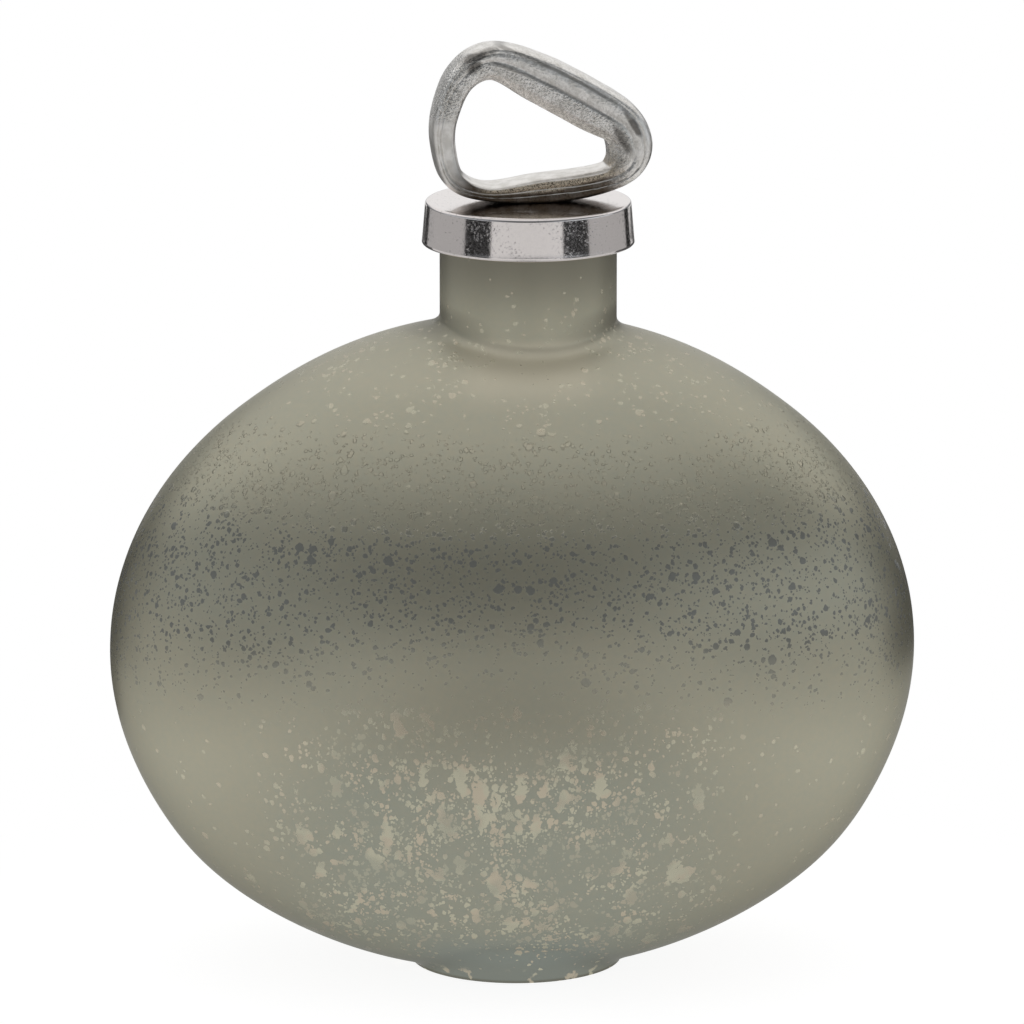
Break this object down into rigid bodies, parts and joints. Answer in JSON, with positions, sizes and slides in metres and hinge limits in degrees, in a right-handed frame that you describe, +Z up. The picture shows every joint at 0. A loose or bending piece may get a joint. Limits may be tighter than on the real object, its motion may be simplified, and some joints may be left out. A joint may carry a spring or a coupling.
{
  "type": "lidded glass bottle",
  "caption": "Free-standing flattened oval glass bottle with a round foot, a short neck and a cast metal lift-off lid that is turned and lifted by a free-form ring handle.",
  "frame": {"origin": "middle of the bounding box on the table plane, under the oval body", "axes": "+Z up along the neck, -Y towards the viewer's broad face, +X to the viewer's right"},
  "size_m": [0.25, 0.157, 0.2903],
  "materials": {
    "coated_glass": "satin grey-green coat with glossy cream specks",
    "cast_metal": "polished casting with fine pits",
    "plug_plastic": "moulded",
    "silicone": "soft, translucent white",
    "screw_steel": "plain zinc"
  },
  "bodies": {
    "bottle": {"bottle": "coated_glass"},
    "seals": {"upper_seal_ring": "silicone", "lower_seal_ring": "silicone"},
    "lid": {"lid_cap": "cast_metal", "rim_gasket": "silicone", "neck_plug": "plug_plastic", "ring_handle": "cast_metal", "handle_screw": "screw_steel", "screw_washer": "screw_steel"}
  },
  "joints": [
    {"name": "lid_lift", "type": "slide", "parent": "bottle", "child": "seals", "axis": [0, 0, 1], "range_m": [0, 0.06]},
    {"name": "lid_turn", "type": "hinge", "parent": "seals", "child": "lid", "pos_m": [0.005, 0, 0.23], "axis": [0, 0, 1], "continuous": true}
  ]
}
